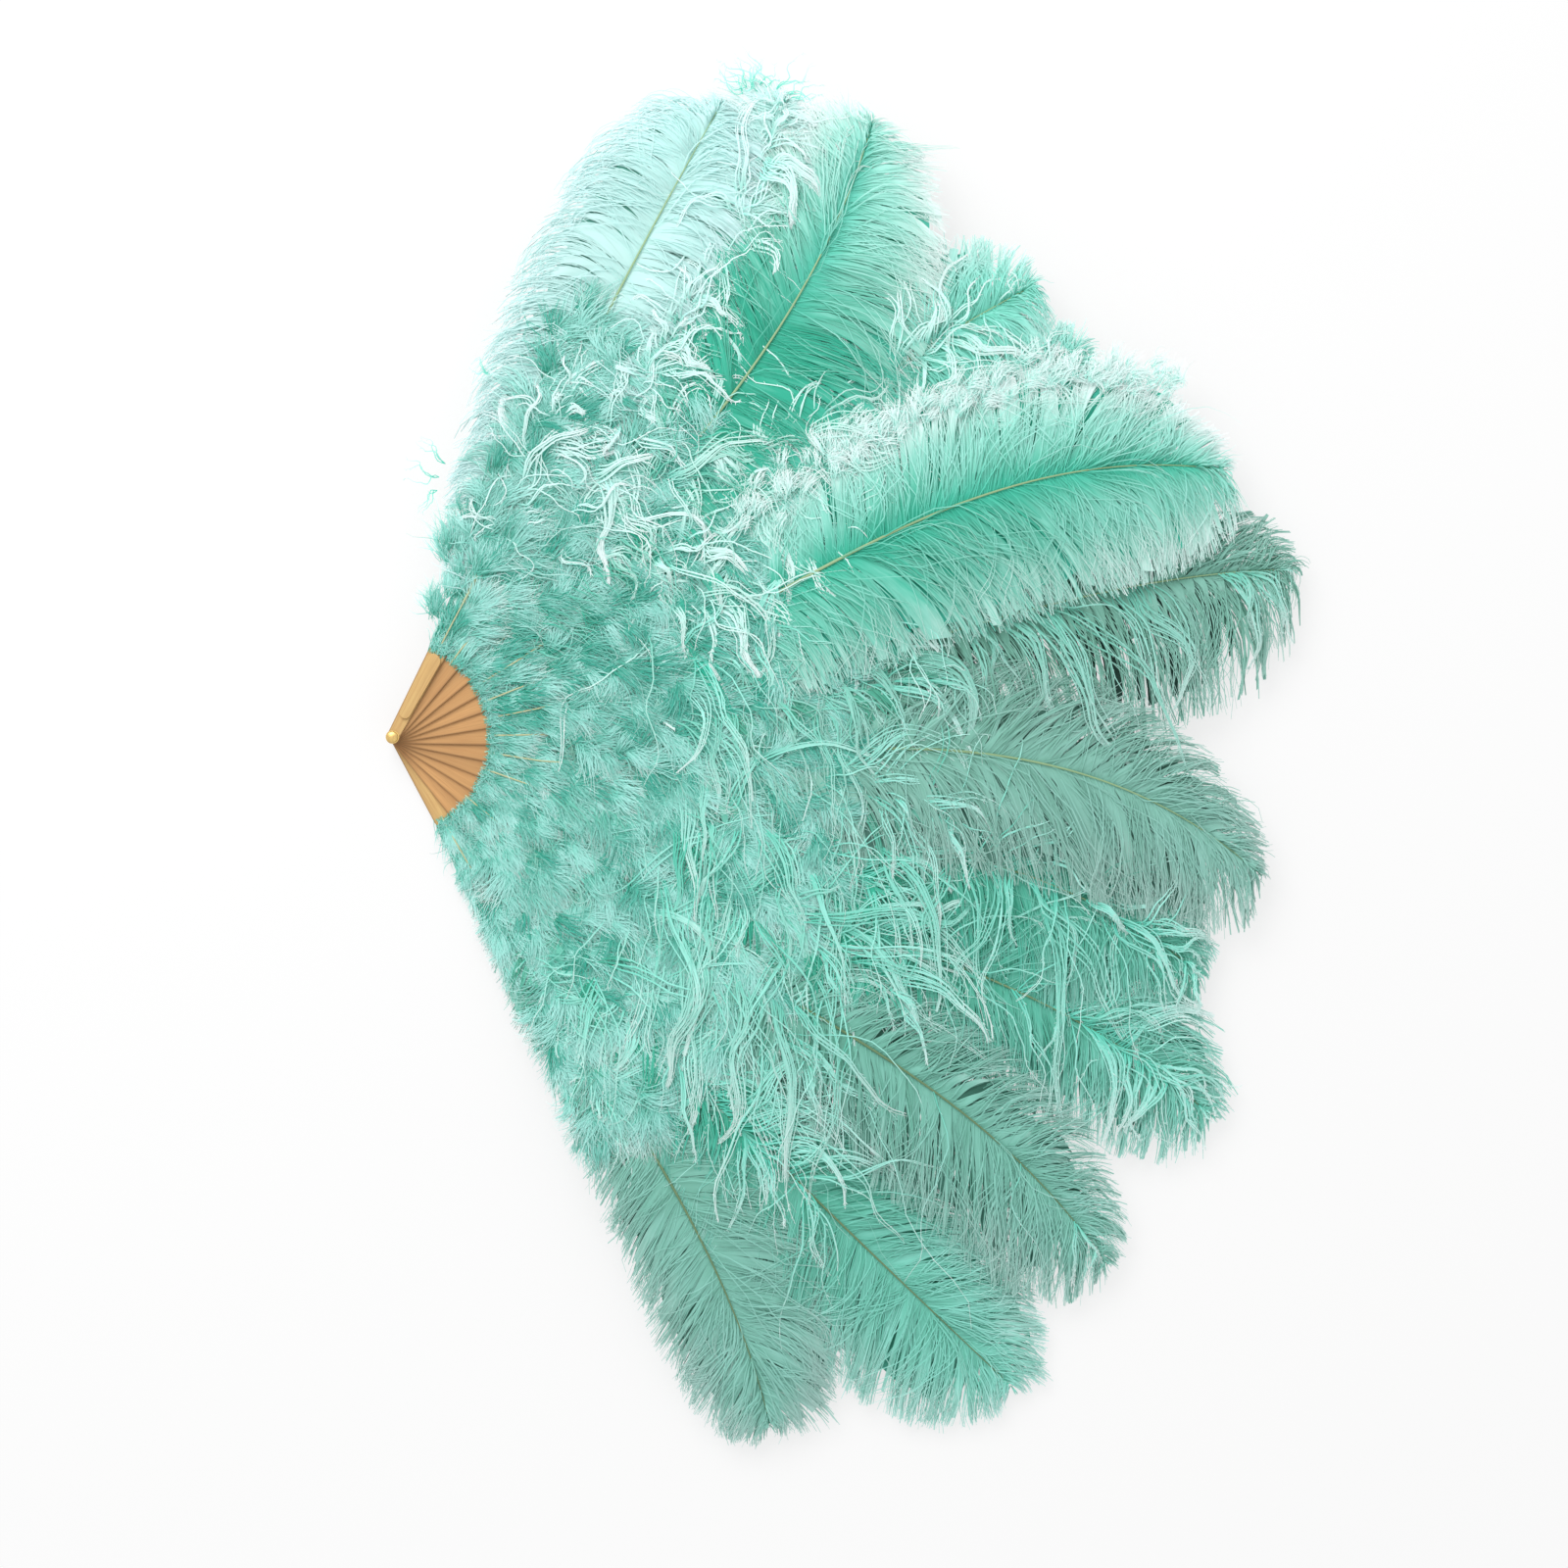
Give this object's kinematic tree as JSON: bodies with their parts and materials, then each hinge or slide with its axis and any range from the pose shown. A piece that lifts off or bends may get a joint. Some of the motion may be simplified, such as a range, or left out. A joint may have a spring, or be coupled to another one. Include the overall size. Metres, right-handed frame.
{
  "type": "folding feather fan",
  "caption": "Large folding fan of ostrich plumes on bamboo staves that turn on one pivot bolt, lying open on its back.",
  "frame": {"origin": "on the pivot's axis, at the rear face on which the pivot end and the rear guard's grip lie", "axes": "+X from the pivot along the middle of the open fan, +Y towards the front guard, +Z to the front"},
  "size_m": [0.8491, 1.2599, 0.079],
  "materials": {
    "stave_bamboo": "polished bamboo, satin lacquer",
    "guard_bamboo": "polished bamboo, satin lacquer, paler",
    "pivot_brass": "satin brass",
    "ribbon_satin": "narrow satin ribbon, mint green",
    "long_plume": "dyed ostrich wing plume, mint green",
    "front_plume": "dyed downy ostrich plume, paler mint green"
  },
  "bodies": {
    "leaf_01": {"rear_guard": "guard_bamboo", "plume_01": "long_plume", "front_plume_01": "front_plume", "ribbon_01": "ribbon_satin", "pivot_bolt": "pivot_brass", "rear_washer": "pivot_brass", "front_washer": "pivot_brass", "pivot_nut": "pivot_brass"},
    "leaf_02": {"stave_02": "stave_bamboo", "plume_02": "long_plume", "front_plume_02": "front_plume", "ribbon_02": "ribbon_satin"},
    "leaf_03": {"stave_03": "stave_bamboo", "plume_03": "long_plume", "front_plume_03": "front_plume", "ribbon_03": "ribbon_satin"},
    "leaf_04": {"stave_04": "stave_bamboo", "plume_04": "long_plume", "front_plume_04": "front_plume", "ribbon_04": "ribbon_satin"},
    "leaf_05": {"stave_05": "stave_bamboo", "plume_05": "long_plume", "front_plume_05": "front_plume", "ribbon_05": "ribbon_satin"},
    "leaf_06": {"stave_06": "stave_bamboo", "plume_06": "long_plume", "front_plume_06": "front_plume", "ribbon_06": "ribbon_satin"},
    "leaf_07": {"stave_07": "stave_bamboo", "plume_07": "long_plume", "front_plume_07": "front_plume", "ribbon_07": "ribbon_satin"},
    "leaf_08": {"stave_08": "stave_bamboo", "plume_08": "long_plume", "front_plume_08": "front_plume", "ribbon_08": "ribbon_satin"},
    "leaf_09": {"stave_09": "stave_bamboo", "plume_09": "long_plume", "front_plume_09": "front_plume", "ribbon_09": "ribbon_satin"},
    "leaf_10": {"stave_10": "stave_bamboo", "plume_10": "long_plume", "front_plume_10": "front_plume", "ribbon_10": "ribbon_satin"},
    "leaf_11": {"stave_11": "stave_bamboo", "plume_11": "long_plume", "front_plume_11": "front_plume", "ribbon_11": "ribbon_satin"},
    "leaf_12": {"stave_12": "stave_bamboo", "plume_12": "long_plume", "front_plume_12": "front_plume", "ribbon_12": "ribbon_satin"},
    "leaf_13": {"front_guard": "guard_bamboo", "plume_13": "long_plume", "front_plume_13": "front_plume"}
  },
  "joints": [
    {"name": "fan_fold", "type": "hinge", "parent": "leaf_01", "child": "leaf_13", "pos_m": [0, 0, 0], "axis": [0, 0, -1], "range_deg": [0, 122]},
    {"name": "leaf_02_fold", "type": "hinge", "parent": "leaf_01", "child": "leaf_02", "pos_m": [0, 0, 0], "axis": [0, 0, -1], "range_deg": [0, 10.17]},
    {"name": "leaf_03_fold", "type": "hinge", "parent": "leaf_01", "child": "leaf_03", "pos_m": [0, 0, 0], "axis": [0, 0, -1], "range_deg": [0, 20.33]},
    {"name": "leaf_04_fold", "type": "hinge", "parent": "leaf_01", "child": "leaf_04", "pos_m": [0, 0, 0], "axis": [0, 0, -1], "range_deg": [0, 30.5]},
    {"name": "leaf_05_fold", "type": "hinge", "parent": "leaf_01", "child": "leaf_05", "pos_m": [0, 0, 0], "axis": [0, 0, -1], "range_deg": [0, 40.67]},
    {"name": "leaf_06_fold", "type": "hinge", "parent": "leaf_01", "child": "leaf_06", "pos_m": [0, 0, 0], "axis": [0, 0, -1], "range_deg": [0, 50.83]},
    {"name": "leaf_07_fold", "type": "hinge", "parent": "leaf_01", "child": "leaf_07", "pos_m": [0, 0, 0], "axis": [0, 0, -1], "range_deg": [0, 61]},
    {"name": "leaf_08_fold", "type": "hinge", "parent": "leaf_01", "child": "leaf_08", "pos_m": [0, 0, 0], "axis": [0, 0, -1], "range_deg": [0, 71.17]},
    {"name": "leaf_09_fold", "type": "hinge", "parent": "leaf_01", "child": "leaf_09", "pos_m": [0, 0, 0], "axis": [0, 0, -1], "range_deg": [0, 81.33]},
    {"name": "leaf_10_fold", "type": "hinge", "parent": "leaf_01", "child": "leaf_10", "pos_m": [0, 0, 0], "axis": [0, 0, -1], "range_deg": [0, 91.5]},
    {"name": "leaf_11_fold", "type": "hinge", "parent": "leaf_01", "child": "leaf_11", "pos_m": [0, 0, 0], "axis": [0, 0, -1], "range_deg": [0, 101.67]},
    {"name": "leaf_12_fold", "type": "hinge", "parent": "leaf_01", "child": "leaf_12", "pos_m": [0, 0, 0], "axis": [0, 0, -1], "range_deg": [0, 111.83]}
  ],
  "couplings": [
    {"joint": "leaf_02_fold", "follows": "fan_fold", "ratio": 0.083333},
    {"joint": "leaf_03_fold", "follows": "fan_fold", "ratio": 0.16667},
    {"joint": "leaf_04_fold", "follows": "fan_fold", "ratio": 0.25},
    {"joint": "leaf_05_fold", "follows": "fan_fold", "ratio": 0.33333},
    {"joint": "leaf_06_fold", "follows": "fan_fold", "ratio": 0.41667},
    {"joint": "leaf_07_fold", "follows": "fan_fold", "ratio": 0.5},
    {"joint": "leaf_08_fold", "follows": "fan_fold", "ratio": 0.58333},
    {"joint": "leaf_09_fold", "follows": "fan_fold", "ratio": 0.66667},
    {"joint": "leaf_10_fold", "follows": "fan_fold", "ratio": 0.75},
    {"joint": "leaf_11_fold", "follows": "fan_fold", "ratio": 0.83333},
    {"joint": "leaf_12_fold", "follows": "fan_fold", "ratio": 0.91667}
  ]
}
